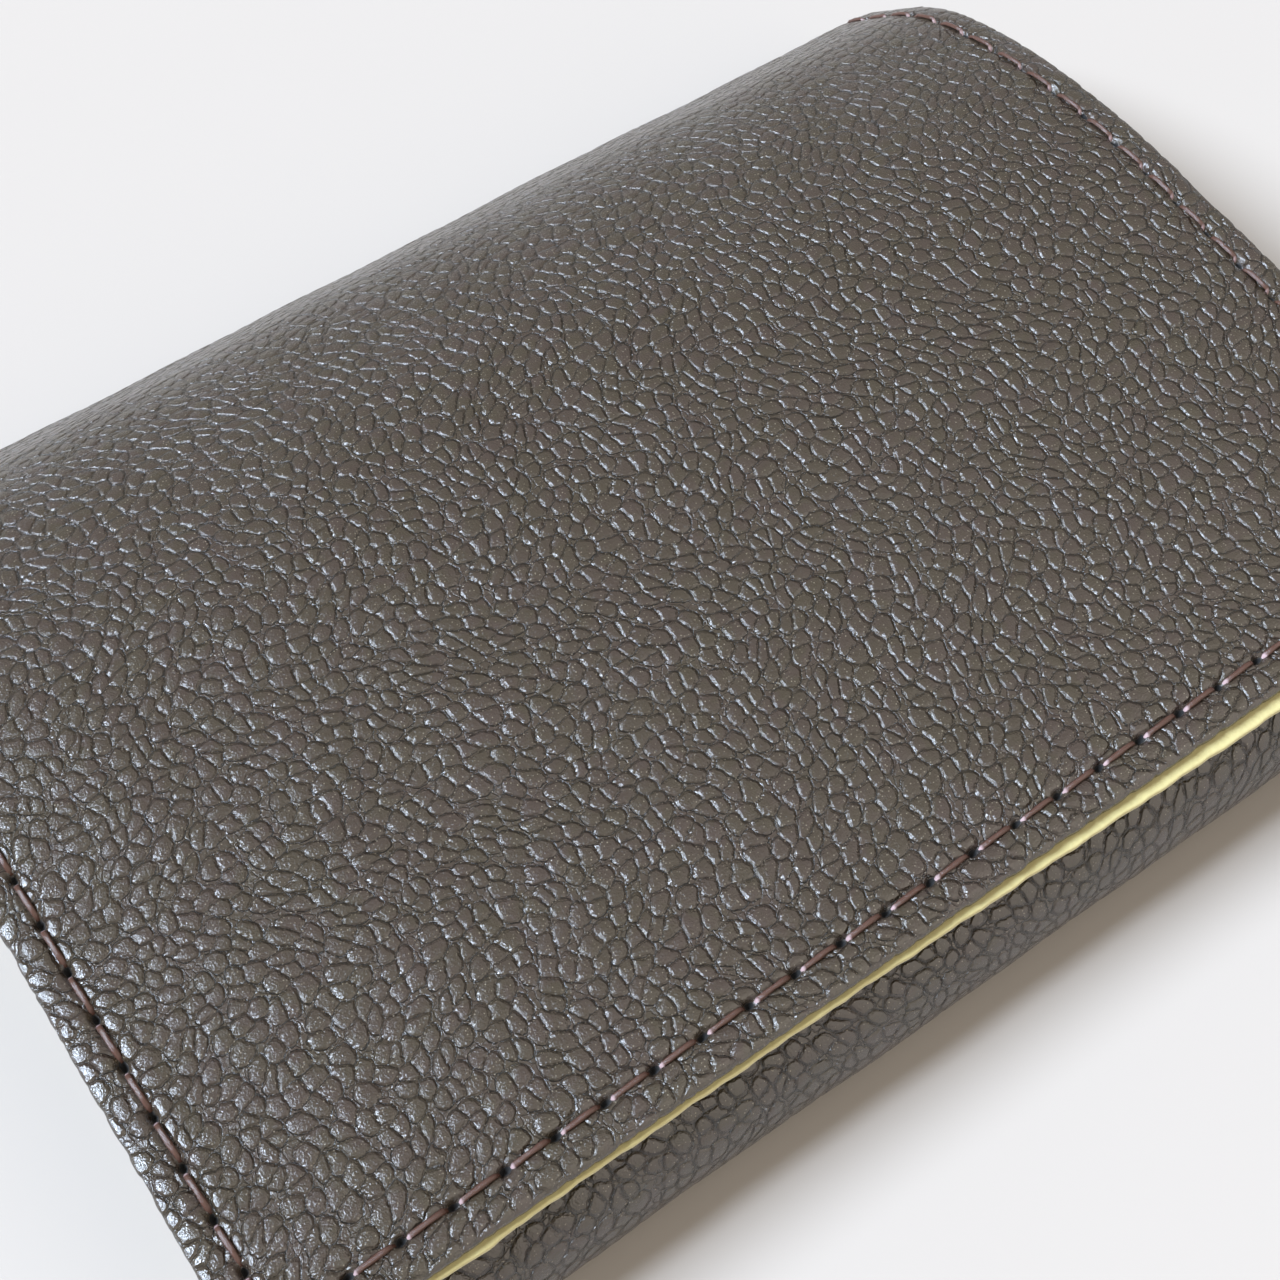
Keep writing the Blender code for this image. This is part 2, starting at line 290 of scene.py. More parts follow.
# Even steps from edge to edge, with extra ones on both side seams, in an exact number of columns.
def gradedSteps(half, step, near, columns):
    even = np.linspace(-half, half, int(round(2 * half / step / columns)) * columns + 1)
    if near:
        extra = seamX + np.linspace(-seams["band"], seams["band"], near)
        even = np.sort(np.r_[even, extra, -extra])
        even = even[np.r_[True, np.diff(even) > smallestStep]]
    short = -(len(even) - 1) % columns
    if short:
        gaps = np.argsort(-np.diff(even)[len(even) // 3:-len(even) // 3])[:short] + len(even) // 3
        even = np.sort(np.r_[even, (even[gaps] + even[gaps + 1]) / 2])
    return even / half


# A closed sheet: a fine grid on its outer face, a rounded rim round the outline, and an inner
# face with few columns that shares the rim's last ring. Its corners at the start are quarter circles.
def makeSheet(name, spec, relief=None):
    r = spec["edgeRadius"]
    cutStart, cutEnd = spec.get("cuts", (False, False))
    sFrom = spec["from"] + (cutRim if cutStart else r)
    sTo = spec["to"] - (cutRim if cutEnd else r)
    corner = max(spec.get("corner", 0) - r, 0)
    columns = spec["columns"]
    half = halfWidth - r - spec.get("inset", 0)
    near = spec.get("near", 0)
    spread = gradedSteps(half, spec["step"], near, columns)
    nx = len(spread) - 1
    if corner:
        turns = np.linspace(0, math.pi / 2, int(round(corner * math.pi / 2 / spec["step"])) + 1)
        rows = sFrom + corner * (1 - np.cos(turns))
        widths = half - corner + corner * np.sin(turns)
    else:
        rows, widths = np.array([sFrom]), np.array([half])
    more = int(round((sTo - rows[-1]) / spec["step"]))
    rows = np.r_[rows, np.linspace(rows[-1], sTo, more + 1)[1:]]
    widths = np.r_[widths, np.full(more, half)]
    for extra in spec.get("extraRows", ()):
        at = np.searchsorted(rows, extra)
        if min(extra - rows[at - 1], rows[at] - extra) > smallestRow:
            share = (extra - rows[at - 1]) / (rows[at] - rows[at - 1])
            widths = np.insert(widths, at, widths[at - 1] + share * (widths[at] - widths[at - 1]))
            rows = np.insert(rows, at, extra)
    ns = len(rows) - 1
    x = spread[None, :] * widths[:, None]
    s = np.repeat(rows[:, None], nx + 1, 1)
    grid = np.arange((nx + 1) * (ns + 1)).reshape(ns + 1, nx + 1)
    loop = np.r_[grid[0, :], grid[1:, nx], grid[ns, nx - 1::-1], grid[ns - 1:0:-1, 0]]
    count = len(loop)
    loopX, loopS = x.ravel()[loop], s.ravel()[loop]
    tangentX = np.roll(loopX, -1) - np.roll(loopX, 1)
    tangentS = np.roll(loopS, -1) - np.roll(loopS, 1)
    size = np.hypot(tangentX, tangentS)
    outX, outS = tangentS / size, -tangentX / size
    onCut = ((loopS <= sFrom + 1e-6) & cutStart) | ((loopS >= sTo - 1e-6) & cutEnd)
    firm = np.where(onCut, cutRim / r, 1.0)
    outS = outS * firm
    turns = np.linspace(0, math.pi / 2, spec.get("rimSteps", 3) + 1)
    profile = [(r * math.sin(t), 0, r * (1 - math.cos(t))) for t in turns[1:]]
    profile += [(r * math.sin(t), 1, -r * (1 - math.cos(t))) for t in turns[::-1]]
    sheetX, sheetS, share, extra = [x.ravel()], [s.ravel()], [np.zeros(x.size)], [np.zeros(x.size)]
    ragged = spec["ragged"](loopX, loopS) if "ragged" in spec else np.zeros(count)
    for out, part, down in profile:
        outward = out + ragged * min(1.0, out / r * 2)
        sheetX.append(loopX + outward * outX)
        sheetS.append(loopS + outward * outS)
        share.append(np.full(count, float(part)))
        extra.append(down * firm)
    underColumns = np.arange(0, nx + 1, nx // columns)
    inner = x[1:-1, underColumns[1:-1]]
    sheetX.append(inner.ravel())
    sheetS.append(s[1:-1, underColumns[1:-1]].ravel())
    share.append(np.ones(inner.size))
    extra.append(np.zeros(inner.size))
    sheetX, sheetS, share, extra = (np.concatenate(v) for v in (sheetX, sheetS, share, extra))
    shiftS = sheetS - spec["pull"](sheetX, sheetS) if "pull" in spec else sheetS
    onTop = share == 0
    top, under = spec["top"](sheetX, sheetS), spec["under"](sheetX, sheetS)
    depth = top + share * (under - top) + extra
    if relief is not None:
        depth = depth - relief(sheetX, sheetS) * (1 - share)
    points = place(sheetX, shiftS, depth)
    quads = [np.stack([grid[:-1, :-1], grid[:-1, 1:], grid[1:, 1:], grid[1:, :-1]], -1).reshape(-1, 4)]
    ring = loop
    base = x.size
    for _ in profile:
        after = base + np.arange(count)
        quads.append(np.stack([np.roll(ring, -1), ring, after, np.roll(after, -1)], -1))
        ring, base = after, base + count
    under = np.zeros((ns + 1, columns + 1), int)
    under[1:-1, 1:-1] = base + np.arange(inner.size).reshape(inner.shape)
    under[0, :] = ring[underColumns]
    under[:, -1] = ring[nx:nx + ns + 1]
    under[-1, :] = ring[nx + ns:nx + ns + nx + 1][::-1][underColumns]
    under[1:-1, 0] = ring[2 * nx + ns + 1:][::-1]
    middle = under[1:-1]
    quads.append(np.stack([middle[:-1, :-1], middle[1:, :-1], middle[1:, 1:], middle[:-1, 1:]], -1).reshape(-1, 4))
    faces = np.concatenate(quads)
    front, back = ring[:nx + 1], ring[nx + ns:nx + ns + nx + 1][::-1]
    ends = []
    for c in range(columns):
        a, b = underColumns[c], underColumns[c + 1]
        ends.append([under[1, c], under[1, c + 1], *front[a:b + 1][::-1]])
        ends.append([under[-2, c + 1], under[-2, c], *back[a:b + 1]])
    thing = makeMesh(name, points, faces, ends)
    topFaces = nx * ns
    rimFaces = count * len(profile)
    slots = np.zeros(len(thing.data.polygons), np.int32)
    slots[topFaces + count * (len(turns) - 1):topFaces + rimFaces] = 1
    slots[topFaces + rimFaces:] = 2
    thing.data.polygons.foreach_set("material_index", slots)
    return thing, sheetX, sheetS, onTop


class Shading:
    # A short way to write node trees: each call adds a node, sets its values and links its inputs.
    def __init__(self, name):
        self.material = bpy.data.materials.new(name)
        self.material.use_nodes = True
        self.tree = self.material.node_tree
        self.shader = self.tree.nodes["Principled BSDF"]

    def node(self, kind, settings=None, **inputs):
        made = self.tree.nodes.new(kind)
        for key, value in (settings or {}).items():
            setattr(made, key, value)
        for key, value in inputs.items():
            name = key.replace("_", " ")
            byNumber = name[0] == "i" and name[1:].isdigit()      # i0, i1 and so on stand for sockets 0, 1
            self.feed(made.inputs[int(name[1:]) if byNumber else name], value)
        return made

    def feed(self, socket, value):
        if isinstance(value, bpy.types.NodeSocket):
            self.tree.links.new(value, socket)
        elif isinstance(value, bpy.types.Node):
            self.tree.links.new(value.outputs[0], socket)
        else:
            socket.default_value = value

    def math(self, operation, a, b=0.0, c=0.0, clamp=False):
        return self.node("ShaderNodeMath", {"operation": operation, "use_clamp": clamp}, i0=a, i1=b, i2=c)

    def ramp(self, value, low, high, toLow=0.0, toHigh=1.0):
        settings = {"interpolation_type": "SMOOTHSTEP"}
        return self.node("ShaderNodeMapRange", settings, i0=value, i1=low, i2=high, i3=toLow, i4=toHigh)

    def mix(self, factor, a, b):
        made = self.node("ShaderNodeMix", {"data_type": "RGBA"})
        self.feed(made.inputs[0], factor)
        self.feed(made.inputs[6], a)
        self.feed(made.inputs[7], b)
        return made.outputs[2]

    def noise(self, vector, scale, detail=2.0, roughness=0.5):
        return self.node("ShaderNodeTexNoise", None, Vector=vector, Scale=scale, Detail=detail, Roughness=roughness)

    def surface(self, colour, roughness, **constants):
        self.feed(self.shader.inputs["Base Color"], colour)
        self.feed(self.shader.inputs["Roughness"], roughness)
        for key, value in constants.items():
            self.shader.inputs[key.replace("_", " ")].default_value = value
        return self.material

    def bumps(self, *steps):
        normal = None
        for height, distance in steps:
            made = self.node("ShaderNodeBump", None, Height=height, Distance=distance, Strength=1.0)
            if normal is not None:
                self.feed(made.inputs["Normal"], normal)
            normal = made.outputs[0]
        self.feed(self.shader.inputs["Normal"], normal)


leatherFinish = {
    "brown": (0.044, 0.032, 0.022, 1), "olive": (0.045, 0.034, 0.021, 1), "plum": (0.048, 0.033, 0.025, 1),
    # groove: painted shade, the near-black colour laid into the grooves between pebbles
    # hole: painted shade inside the stitch holes
    # speck: painted glints, pale spots on the pebbles
    "groove": (0.003, 0.002, 0.001, 1), "hole": (0.001, 0.001, 0.001, 1), "paintedGlintSpots": (0.27, 0.23, 0.17, 1),
    "pebbleBump": 0.00016, "fineBump": 0.00006, "lumpBump": 0.000012,
}


def leatherMaterial(name="pebbleLeather"):
    m = Shading(name)
    f = leatherFinish
    grain = m.node("ShaderNodeAttribute", {"attribute_name": "grain"})
    parts = m.node("ShaderNodeSeparateXYZ", None, Vector=grain.outputs["Vector"])
    pressed = parts.outputs[2]
    here = m.node("ShaderNodeTexCoord").outputs["Object"]
    ragged = m.noise(here, 1500.0, 3.0, 0.55)
    shift = m.node("ShaderNodeVectorMath", {"operation": "SUBTRACT"}, i0=ragged.outputs["Color"], i1=(0.5, 0.5, 0.5))
    shift = m.node("ShaderNodeVectorMath", {"operation": "SCALE"}, i0=shift.outputs[0], Scale=0.34)
    where = m.node("ShaderNodeVectorMath", {"operation": "ADD"}, i0=grain.outputs["Vector"], i1=shift.outputs[0])
    settings = {"voronoi_dimensions": "2D", "feature": "F1"}
    cell = m.node("ShaderNodeTexVoronoi", settings, Vector=where, Scale=1.0, Randomness=pebbles["randomness"])
    settings = {"voronoi_dimensions": "2D", "feature": "DISTANCE_TO_EDGE"}
    edge = m.node("ShaderNodeTexVoronoi", settings, Vector=where, Scale=1.0, Randomness=pebbles["randomness"])
    cells = m.node("ShaderNodeSeparateXYZ", None, Vector=cell.outputs["Color"])
    room = m.math("SUBTRACT", m.math("ADD", pebbles["reach"] - 0.08, m.math("MULTIPLY", cells.outputs[2], 0.14)),
                  cell.outputs["Distance"])
    inside = m.math("SMOOTH_MIN", edge.outputs["Distance"], room, 0.14)
    small = m.node("ShaderNodeTexVoronoi", settings, Vector=where, Scale=2.3, Randomness=0.9)
    between = m.math("MINIMUM", m.math("MULTIPLY", small.outputs["Distance"], 0.55), m.math("MULTIPLY", inside, -1.0))
    rise = m.math("DIVIDE", inside, pebbles["fineFlank"], clamp=True)
    dome = m.math("MULTIPLY", rise, m.math("SUBTRACT", 1.15, m.math("MULTIPLY", rise, 0.15)))
    crown = m.math("POWER", m.math("DIVIDE", inside, 0.5, clamp=True), 0.6)
    dome = m.math("ADD", dome, m.math("MULTIPLY", crown, 0.25))
    dome = m.math("ADD", dome, m.math("MULTIPLY", m.ramp(between, 0.0, 0.07), 0.5))
    # Painted shade: a near-black line round each pebble where shade falls in the groove, weaker where the leather is
    # pressed flat and patchy by slow noise
    grooveShadeMask = m.math("SUBTRACT", 1.0, m.ramp(m.math("ABSOLUTE", m.math("ADD", inside, 0.01)), 0.0, 0.06))
    fine = m.noise(here, 7000.0, 2.0, 0.6)
    lumps = m.noise(here, 1500.0, 2.0, 0.5)
    mottle = m.noise(here, 420.0, 3.0, 0.6)
    tone = m.mix(m.ramp(mottle.outputs["Fac"], 0.38, 0.62), f["olive"], f["plum"])
    colour = m.mix(m.math("MULTIPLY", cells.outputs[0], 0.6), tone, f["brown"])
    paintedGrooveShade = m.math("MULTIPLY", grooveShadeMask, m.ramp(pressed, 0.0, 1.0, 1.0, 0.35))
    paintedGrooveShade = m.math("MULTIPLY", paintedGrooveShade, m.ramp(lumps.outputs["Fac"], 0.36, 0.58, 0.25, 1.0))
    colour = m.mix(paintedGrooveShade, colour, f["groove"])
    # Painted highlight: small pale spots scattered over the pebbles stand in for tiny glints of light off fine bumps
    paintedGlintSpots = m.node("ShaderNodeTexVoronoi", {"feature": "F1"}, Vector=here, Scale=3800.0)
    paintedGlintParts = m.node("ShaderNodeSeparateXYZ", None, Vector=paintedGlintSpots.outputs["Color"])
    paintedGlintMask = m.math("MULTIPLY", m.ramp(paintedGlintSpots.outputs["Distance"], 0.10, 0.26, 0.7, 0.0), paintedGlintParts.outputs[0])
    colour = m.mix(paintedGlintMask, colour, f["paintedGlintSpots"])
    rough = m.math("ADD", 0.11, m.math("MULTIPLY", fine.outputs["Fac"], 0.18))
    height = m.math("MULTIPLY", dome, m.ramp(pressed, 0.0, 1.0, 1.0, 0.25))
    seam = m.node("ShaderNodeAttribute", {"attribute_name": "seam"})
    seamParts = m.node("ShaderNodeSeparateXYZ", None, Vector=seam.outputs["Vector"])
    along = m.math("ADD", seamParts.outputs[0], -seams["phase"] + seams["pitch"] * 200.5)
    off = m.math("SUBTRACT", m.math("MODULO", along, seams["pitch"]), seams["pitch"] / 2)
    off = m.math("DIVIDE", off, seams["holeLength"])
    side = m.math("DIVIDE", seamParts.outputs[1], seams["holeWidth"])
    away = m.math("SQRT", m.math("ADD", m.math("MULTIPLY", off, off), m.math("MULTIPLY", side, side)))
    away = m.math("ADD", away, m.math("MULTIPLY", m.math("SUBTRACT", ragged.outputs["Fac"], 0.5), 1.6))
    hole = m.math("SUBTRACT", 1.0, m.ramp(away, 0.75, 1.1))
    # Painted shade: the stitch holes are coloured near black for the shade inside them
    colour = m.mix(hole, colour, f["hole"])
    rough = m.math("ADD", rough, m.math("MULTIPLY", hole, 0.8), clamp=True)
    m.bumps((height, f["pebbleBump"]), (lumps.outputs["Fac"], f["lumpBump"]), (fine.outputs["Fac"], f["fineBump"]))
    return m.surface(colour, rough, IOR=1.7)


def edgeMaterial():
    m = Shading("paintedEdge")
    here = m.node("ShaderNodeTexCoord").outputs["Object"]
    fibre = m.noise(here, 3500.0, 4.0, 0.65)
    colour = m.mix(fibre.outputs["Fac"], (0.050, 0.038, 0.030, 1), (0.085, 0.066, 0.054, 1))
    m.bumps((fibre.outputs["Fac"], 0.00004))
    return m.surface(colour, 0.55, IOR=1.5)


def fleshMaterial():
    m = Shading("fleshSide")
    here = m.node("ShaderNodeTexCoord").outputs["Object"]
    nap = m.noise(here, 2200.0, 5.0, 0.7)
    colour = m.mix(nap.outputs["Fac"], (0.060, 0.045, 0.034, 1), (0.110, 0.085, 0.066, 1))
    m.bumps((nap.outputs["Fac"], 0.00006))
    return m.surface(colour, 0.9)


liningFinish = {"pale": (0.570, 0.500, 0.240, 1), "deep": (0.500, 0.430, 0.185, 1), "cut": (0.680, 0.605, 0.310, 1)}


def liningMaterial(name, cut=False):
    m = Shading(name)
    here = m.node("ShaderNodeTexCoord").outputs["Object"]
    cloud = m.noise(here, 160.0, 4.0, 0.6)
    fibre = m.noise(here, 5200.0 if cut else 3000.0, 4.0, 0.7)
    pore = m.node("ShaderNodeTexVoronoi", {"feature": "F1"}, Vector=here, Scale=2300.0)
    colour = m.mix(cloud.outputs["Fac"], liningFinish["deep"], liningFinish["cut" if cut else "pale"])
    colour = m.mix(m.ramp(fibre.outputs["Fac"], 0.3, 0.6, 0.22, 0.0), colour, (0.50, 0.40, 0.15, 1))
    m.bumps((pore.outputs["Distance"], 0.00003), (fibre.outputs["Fac"], 0.00009 if cut else 0.00004))
    return m.surface(colour, 0.8 if cut else 0.62, IOR=1.45, Sheen_Weight=0.25, Sheen_Roughness=0.5)


def threadMaterial():
    m = Shading("waxedThread")
    strand = m.node("ShaderNodeAttribute", {"attribute_name": "strand"})
    fibre = m.noise(strand.outputs["Vector"], 9.0, 3.0, 0.6)
    colour = m.mix(fibre.outputs["Fac"], (0.044, 0.019, 0.013, 1), (0.125, 0.062, 0.044, 1))
    parts = m.node("ShaderNodeSeparateXYZ", None, Vector=strand.outputs["Vector"])
    # Painted highlight: the thread is coloured pale pink where it turns up out of its hole, standing in for the glint
    # of light on the bend
    paintedThreadGlint = m.ramp(parts.outputs[2], 0.03, 0.10, 0.75, 0.0)      # pale where the thread turns out of its hole
    colour = m.mix(paintedThreadGlint, colour, (0.62, 0.44, 0.44, 1))
    m.bumps((fibre.outputs["Fac"], 0.00003))
    return m.surface(colour, 0.24, IOR=1.52)


def boardMaterial():
    m = Shading("greyBoard")
    here = m.node("ShaderNodeTexCoord").outputs["Object"]
    pulp = m.noise(here, 900.0, 6.0, 0.7)
    colour = m.mix(pulp.outputs["Fac"], (0.300, 0.230, 0.160, 1), (0.480, 0.390, 0.290, 1))
    m.bumps((pulp.outputs["Fac"], 0.00005))
    return m.surface(colour, 0.92)


def tableMaterial():
    m = Shading("paleTable")
    here = m.node("ShaderNodeTexCoord").outputs["Object"]
    tint = m.noise(here, 14.0, 3.0, 0.5)
    colour = m.mix(tint.outputs["Fac"], (0.445, 0.400, 0.355, 1), (0.460, 0.415, 0.370, 1))
    return m.surface(colour, 0.55, IOR=1.45)


def dress(thing, slot, *materials):
    thing.data.materials.clear()
    for material in materials:
        thing.data.materials.append(material)
    return thing


outerLeather = {"step": 0.32, "near": 9, "columns": 12, "edgeRadius": 0.3, "rimSteps": 3, "corner": 5.0}


# Slow waves of a hand-made surface, a tenth of a millimetre high: three sine waves added up.
def handWaves(x, s):
    return 0.05 * np.sin(0.21 * x + 0.13 * s) + 0.04 * np.sin(0.34 * s - 0.11 * x + 1.3) + 0.03 * np.sin(0.55 * x)


# How flat the pebbles are pressed, from 0 to 1, and how wide that reaches in mm. The rim is pulled
# down by rimDrop over rimReach, and the base sits deeper by baseSink so that it clears the table.
pressing = {
    "seam": 0.5, "seamReach": 0.45, "side": 0.5, "sideReach": 1.0, "endReach": 0.7,
    "rimDrop": 0.12, "rimReach": 1.8, "baseSink": 0.17, "wavesFrom": 6,
}


# Pebbles fade towards the pressed edges by smooth steps and towards the seam by a bell curve, and
# the seam sinks into the surface.
def leatherSurface(seamAt, frontEdge, backEdge):
    def pressedAt(x, s):
        along, across = seamAt(x, s)
        nearSeam = pressing["seam"] * np.exp(-(across / pressing["seamReach"]) ** 2)
        nearSide = pressing["side"] * (1 - smoothStep(0.0, pressing["sideReach"], halfWidth - np.abs(x)))
        nearEnd = 1 - smoothStep(0.0, pressing["endReach"], np.minimum(s - frontEdge, backEdge - s))
        return np.clip(np.maximum(np.maximum(nearSide, nearEnd), nearSeam), 0, 1)

    def relief(x, s):
        middle, groove = pebbleCells(*grainCoordinates(x, s))
        toEdge = np.minimum(halfWidth - np.abs(x), np.minimum(s - frontEdge, backEdge - s))
        raised = pebbles["relief"] * pebbleHeight(middle, groove) * (1 - pressedAt(x, s))
        edgePress = -pressing["rimDrop"] * (1 - smoothStep(0.0, pressing["rimReach"], toEdge))
        sunk = seamDepth(*seamAt(x, s), onBase(s)) + pressing["baseSink"] * onBase(s)
        return raised + edgePress + handWaves(x, s) * smoothStep(0, pressing["wavesFrom"], toEdge) - sunk

    return pressedAt, relief


def makeLeather(name, sFrom, sTo, seamAt, corner=0.0, frontEdge=None, backEdge=None, **more):
    frontEdge = -1e3 if frontEdge is None else frontEdge        # far away where the sheet goes on
    backEdge = 1e3 if backEdge is None else backEdge
    pressedAt, relief = leatherSurface(seamAt, frontEdge, backEdge)
    spec = dict(outerLeather, **more)
    spec.update({"from": sFrom, "to": sTo, "corner": corner})
    spec["cuts"] = (frontEdge < 0, backEdge > mouthKnot)
    spec["top"] = lambda x, s: np.zeros_like(x)
    spec["under"] = lambda x, s: np.full_like(x, layers["leather"])
    spec["ragged"] = lambda x, s: 0.11 * (pebbleHeight(*pebbleCells(*grainCoordinates(x, s))) - 0.75)
    if corner:
        spec["extraRows"] = seams["front"] + np.linspace(-seams["band"], seams["band"], spec["near"])
    thing, x, s, onTop = makeSheet(name, spec, relief)
    gx, gy = grainCoordinates(x, s)
    setAttribute(thing, "grain", np.stack([gx, gy, np.where(onTop, pressedAt(x, s), 1.0)], -1))
    along, across = seamAt(x, s)
    setAttribute(thing, "seam", np.stack([along, np.where(onTop, across, 9.0), 0 * along], -1))
    return thing


print("leather")
leather, edgePaint, flesh = leatherMaterial(), edgeMaterial(), fleshMaterial()
flapLeather = makeLeather("flapLeather", 0.0, flapCut, flapSeam, outerLeather["corner"], 0.0)
spineLeather = makeLeather("spineLeather", flapCut, baseCut, flapSeam)
pocketLeather = makeLeather("pocketLeather", baseCut, mouthKnot, flapSeam, 0.0, None, mouthKnot, step=0.4)
for piece in (flapLeather, spineLeather, pocketLeather):
    dress(piece, "leather", leather, edgePaint, flesh)

lining = {"step": 0.8, "columns": 60, "inset": 0.16, "edgeRadius": 0.14, "rimSteps": 2, "overhang": (0.25, 0.98)}


# The lining lies against the leather at its edges and steps down over the board inside the seams,
# by a smooth step 2 mm wide round the board's outline.
def overBoard(x, s, boardFrom, boardTo):
    inset = np.minimum(np.abs(x) * -1 + halfWidth - 4.0, np.minimum(s - boardFrom, boardTo - s))
    return smoothStep(-0.6, 1.4, inset)


# The cut edge wavers by three small sine waves, stands further out towards +X by a smooth step,
# and bulges once near the far -X end.
def cutEdge(x, s):
    low, high = lining["overhang"]
    reach = low + (high - low) * smoothStep(-20, 34, x) + 0.2 * np.exp(-((x + 38) / 2.2) ** 2)
    waver = 0.03 * np.sin(0.9 * x) + 0.03 * np.sin(2.3 * x + 1.0) + 0.03 * np.abs(np.sin(2.1 * x + np.sin(0.7 * x)))
    return (reach + waver) * (1 - smoothStep(0, 4.0, s))


def makeLining(name, sFrom, sTo, boards, spec=None, corner=0.0, pull=None):
    spec = dict(lining, **dict({"from": sFrom, "to": sTo, "corner": corner}, **(spec or {})))
    spec["cuts"] = (sFrom > 0, sTo < mouthKnot)
    start = layers["leather"] + layers["glue"]

    def top(x, s):
        step = sum(overBoard(x, s, low, high) for low, high in boards)
        return start + layers["boardStep"] * np.clip(step, 0, 1)

    spec["top"] = top
    spec["under"] = lambda x, s: top(x, s) + layers["lining"]
    if pull:
        spec["pull"] = pull
    return makeSheet(name, spec)[0]


print("lining")
flapBoard, baseBoard, frontBoard = (4.5, 38.0), (knots[7] + 5, knots[8] - 5), (knots[10], mouthKnot - 5)
liningFace, liningCut = liningMaterial("yellowLining"), liningMaterial("yellowCutEdge", True)
flapLining = makeLining("flapLining", 0.0, flapCut, [flapBoard], {"step": 0.45, "columns": 58}, 5.0, cutEdge)
spineLining = makeLining("spineLining", flapCut, baseCut, [baseBoard])
pocketLining = makeLining("pocketLining", baseCut, mouthKnot, [baseBoard, frontBoard])
for piece in (flapLining, spineLining, pocketLining):
    dress(piece, "lining", liningFace, liningCut, liningFace)

stitch = {
    "radius": 0.21, "rings": (0, 0.045, 0.1, 0.26, 0.5, 0.74, 0.9, 0.955, 1), "sides": 6, "turns": 1.6, "slant": 0.07,
    "start": 0.40, "end": 0.36, "height": -0.02, "sink": 0.6,
}


# Each stitch is a two-ply thread: it comes up steeply out of one hole, lies along the groove on
# a slight slant and dips into the next. The section is two strands that turn round each other.
def makeStitches(name, holes, pointAt, sunk=0.0, inside=None):
    t = np.array(stitch["rings"])[None, :]
    first = np.asarray(holes)[:-1, None]
    along = first + stitch["start"] + (seams["pitch"] - stitch["start"] - stitch["end"]) * t
    lift = np.minimum(smoothStep(-0.02, 0.10, t), 1 - smoothStep(0.84, 1.03, t))
    across = stitch["slant"] * (2 * t - 1) + 0 * along
    hump = stitch["height"] + 0.05 * np.sin(math.pi * t)
    depth = (1 - lift) * stitch["sink"] - lift * hump + sunk + 0 * along
    phi = np.linspace(0, 2 * math.pi, stitch["sides"], endpoint=False)[None, None, :]
    twist = 2 * math.pi * stitch["turns"] * t[..., None] + first[..., None]
    strands = 0.80 + 0.28 * np.abs(np.cos(phi - twist / 2))
    girth = stitch["radius"] * (0.90 + 0.10 * np.sin(math.pi * t))[..., None] * strands
    ringAcross = across[..., None] + girth * np.cos(phi)
    ringDepth = depth[..., None] - girth * 0.85 * np.sin(phi)
    ringAlong = along[..., None] + 0 * girth
    if inside is not None:
        ringDepth = np.concatenate([ringDepth, inside(ringAlong) - (ringDepth - sunk)])
        ringAlong, ringAcross = (np.concatenate([v + 0 * ringAlong] * 2) for v in (ringAlong, ringAcross))
        phi = np.concatenate([phi + 0 * first[..., None], phi + 0 * first[..., None]])
    x, s, sideX, sideS = pointAt(ringAlong)
    points = place(x + sideX * ringAcross, s + sideS * ringAcross, ringDepth)
    nStitch, nStep, nSide = ringAlong.shape
    index = np.arange(nStitch * nStep * nSide).reshape(nStitch, nStep, nSide)
    near, far = index[:, :-1], index[:, 1:]
    outer = len(first)          # the stitches after these lie on the inner face, upside down
    quads = np.stack([near, np.roll(near, -1, 2), np.roll(far, -1, 2), far], -1)
    quads[outer:] = quads[outer:, ..., ::-1]
    quads = quads.reshape(-1, 4)
    starts, ends = index[:, 0, ::-1], index[:, -1, :]
    caps = [*starts[:outer].tolist(), *ends[:outer].tolist(),
            *starts[outer:, ::-1].tolist(), *ends[outer:, ::-1].tolist()]
    thing = makeMesh(name, points.reshape(-1, 3), quads, caps)
    turnsRound = phi / (2 * math.pi) * 3 + 0 * ringAlong
    strand = np.stack([ringAlong * 0.6 + turnsRound, turnsRound * 2, np.tile(t[..., None], (nStitch, 1, nSide))], -1)
    setAttribute(thing, "strand", strand.reshape(-1, 3))
    return thing


# Points on the flap's seam with the direction square to it, in sheet space.
def flapRow(along):
    x, s = flapSeamPoint(along)
    ahead = flapSeamPoint(along + 0.01)
    dx, ds = (ahead[0] - x) / 0.01, (ahead[1] - s) / 0.01
    return x, s, -ds, dx


def holesBetween(low, high):
    first = math.ceil((low - seams["phase"]) / seams["pitch"])
    last = math.floor((high - seams["phase"]) / seams["pitch"])
    return seams["phase"] + seams["pitch"] * np.arange(first, last + 1)


gusset = {
    "edge": 52.5, "root": 49.7, "tip": 46.5, "thickness": 0.6, "from": -31.0, "recess": 2.5,
    "stations": 64, "flangeSteps": 5, "foldSteps": 28, "fullness": 0.85, "ripple": 0.12,
}

print("stitches")
thread = threadMaterial()
sideStart = seams["front"] + seams["corner"]
frontSeam = 2 * cornerLength + frontRun      # the seam's length between the two sides


# The holes of one side's row between two places on the fold line.
def sideHoles(side, sFrom, sTo):
    low, high = sFrom - sideStart, sTo - sideStart
    return holesBetween(-high, -low) if side < 0 else holesBetween(frontSeam + low, frontSeam + high)


def makeSideRow(name, side, sFrom, sTo, **more):
    return dress(makeStitches(name, sideHoles(side, sFrom, sTo), flapRow, **more), "thread", thread)


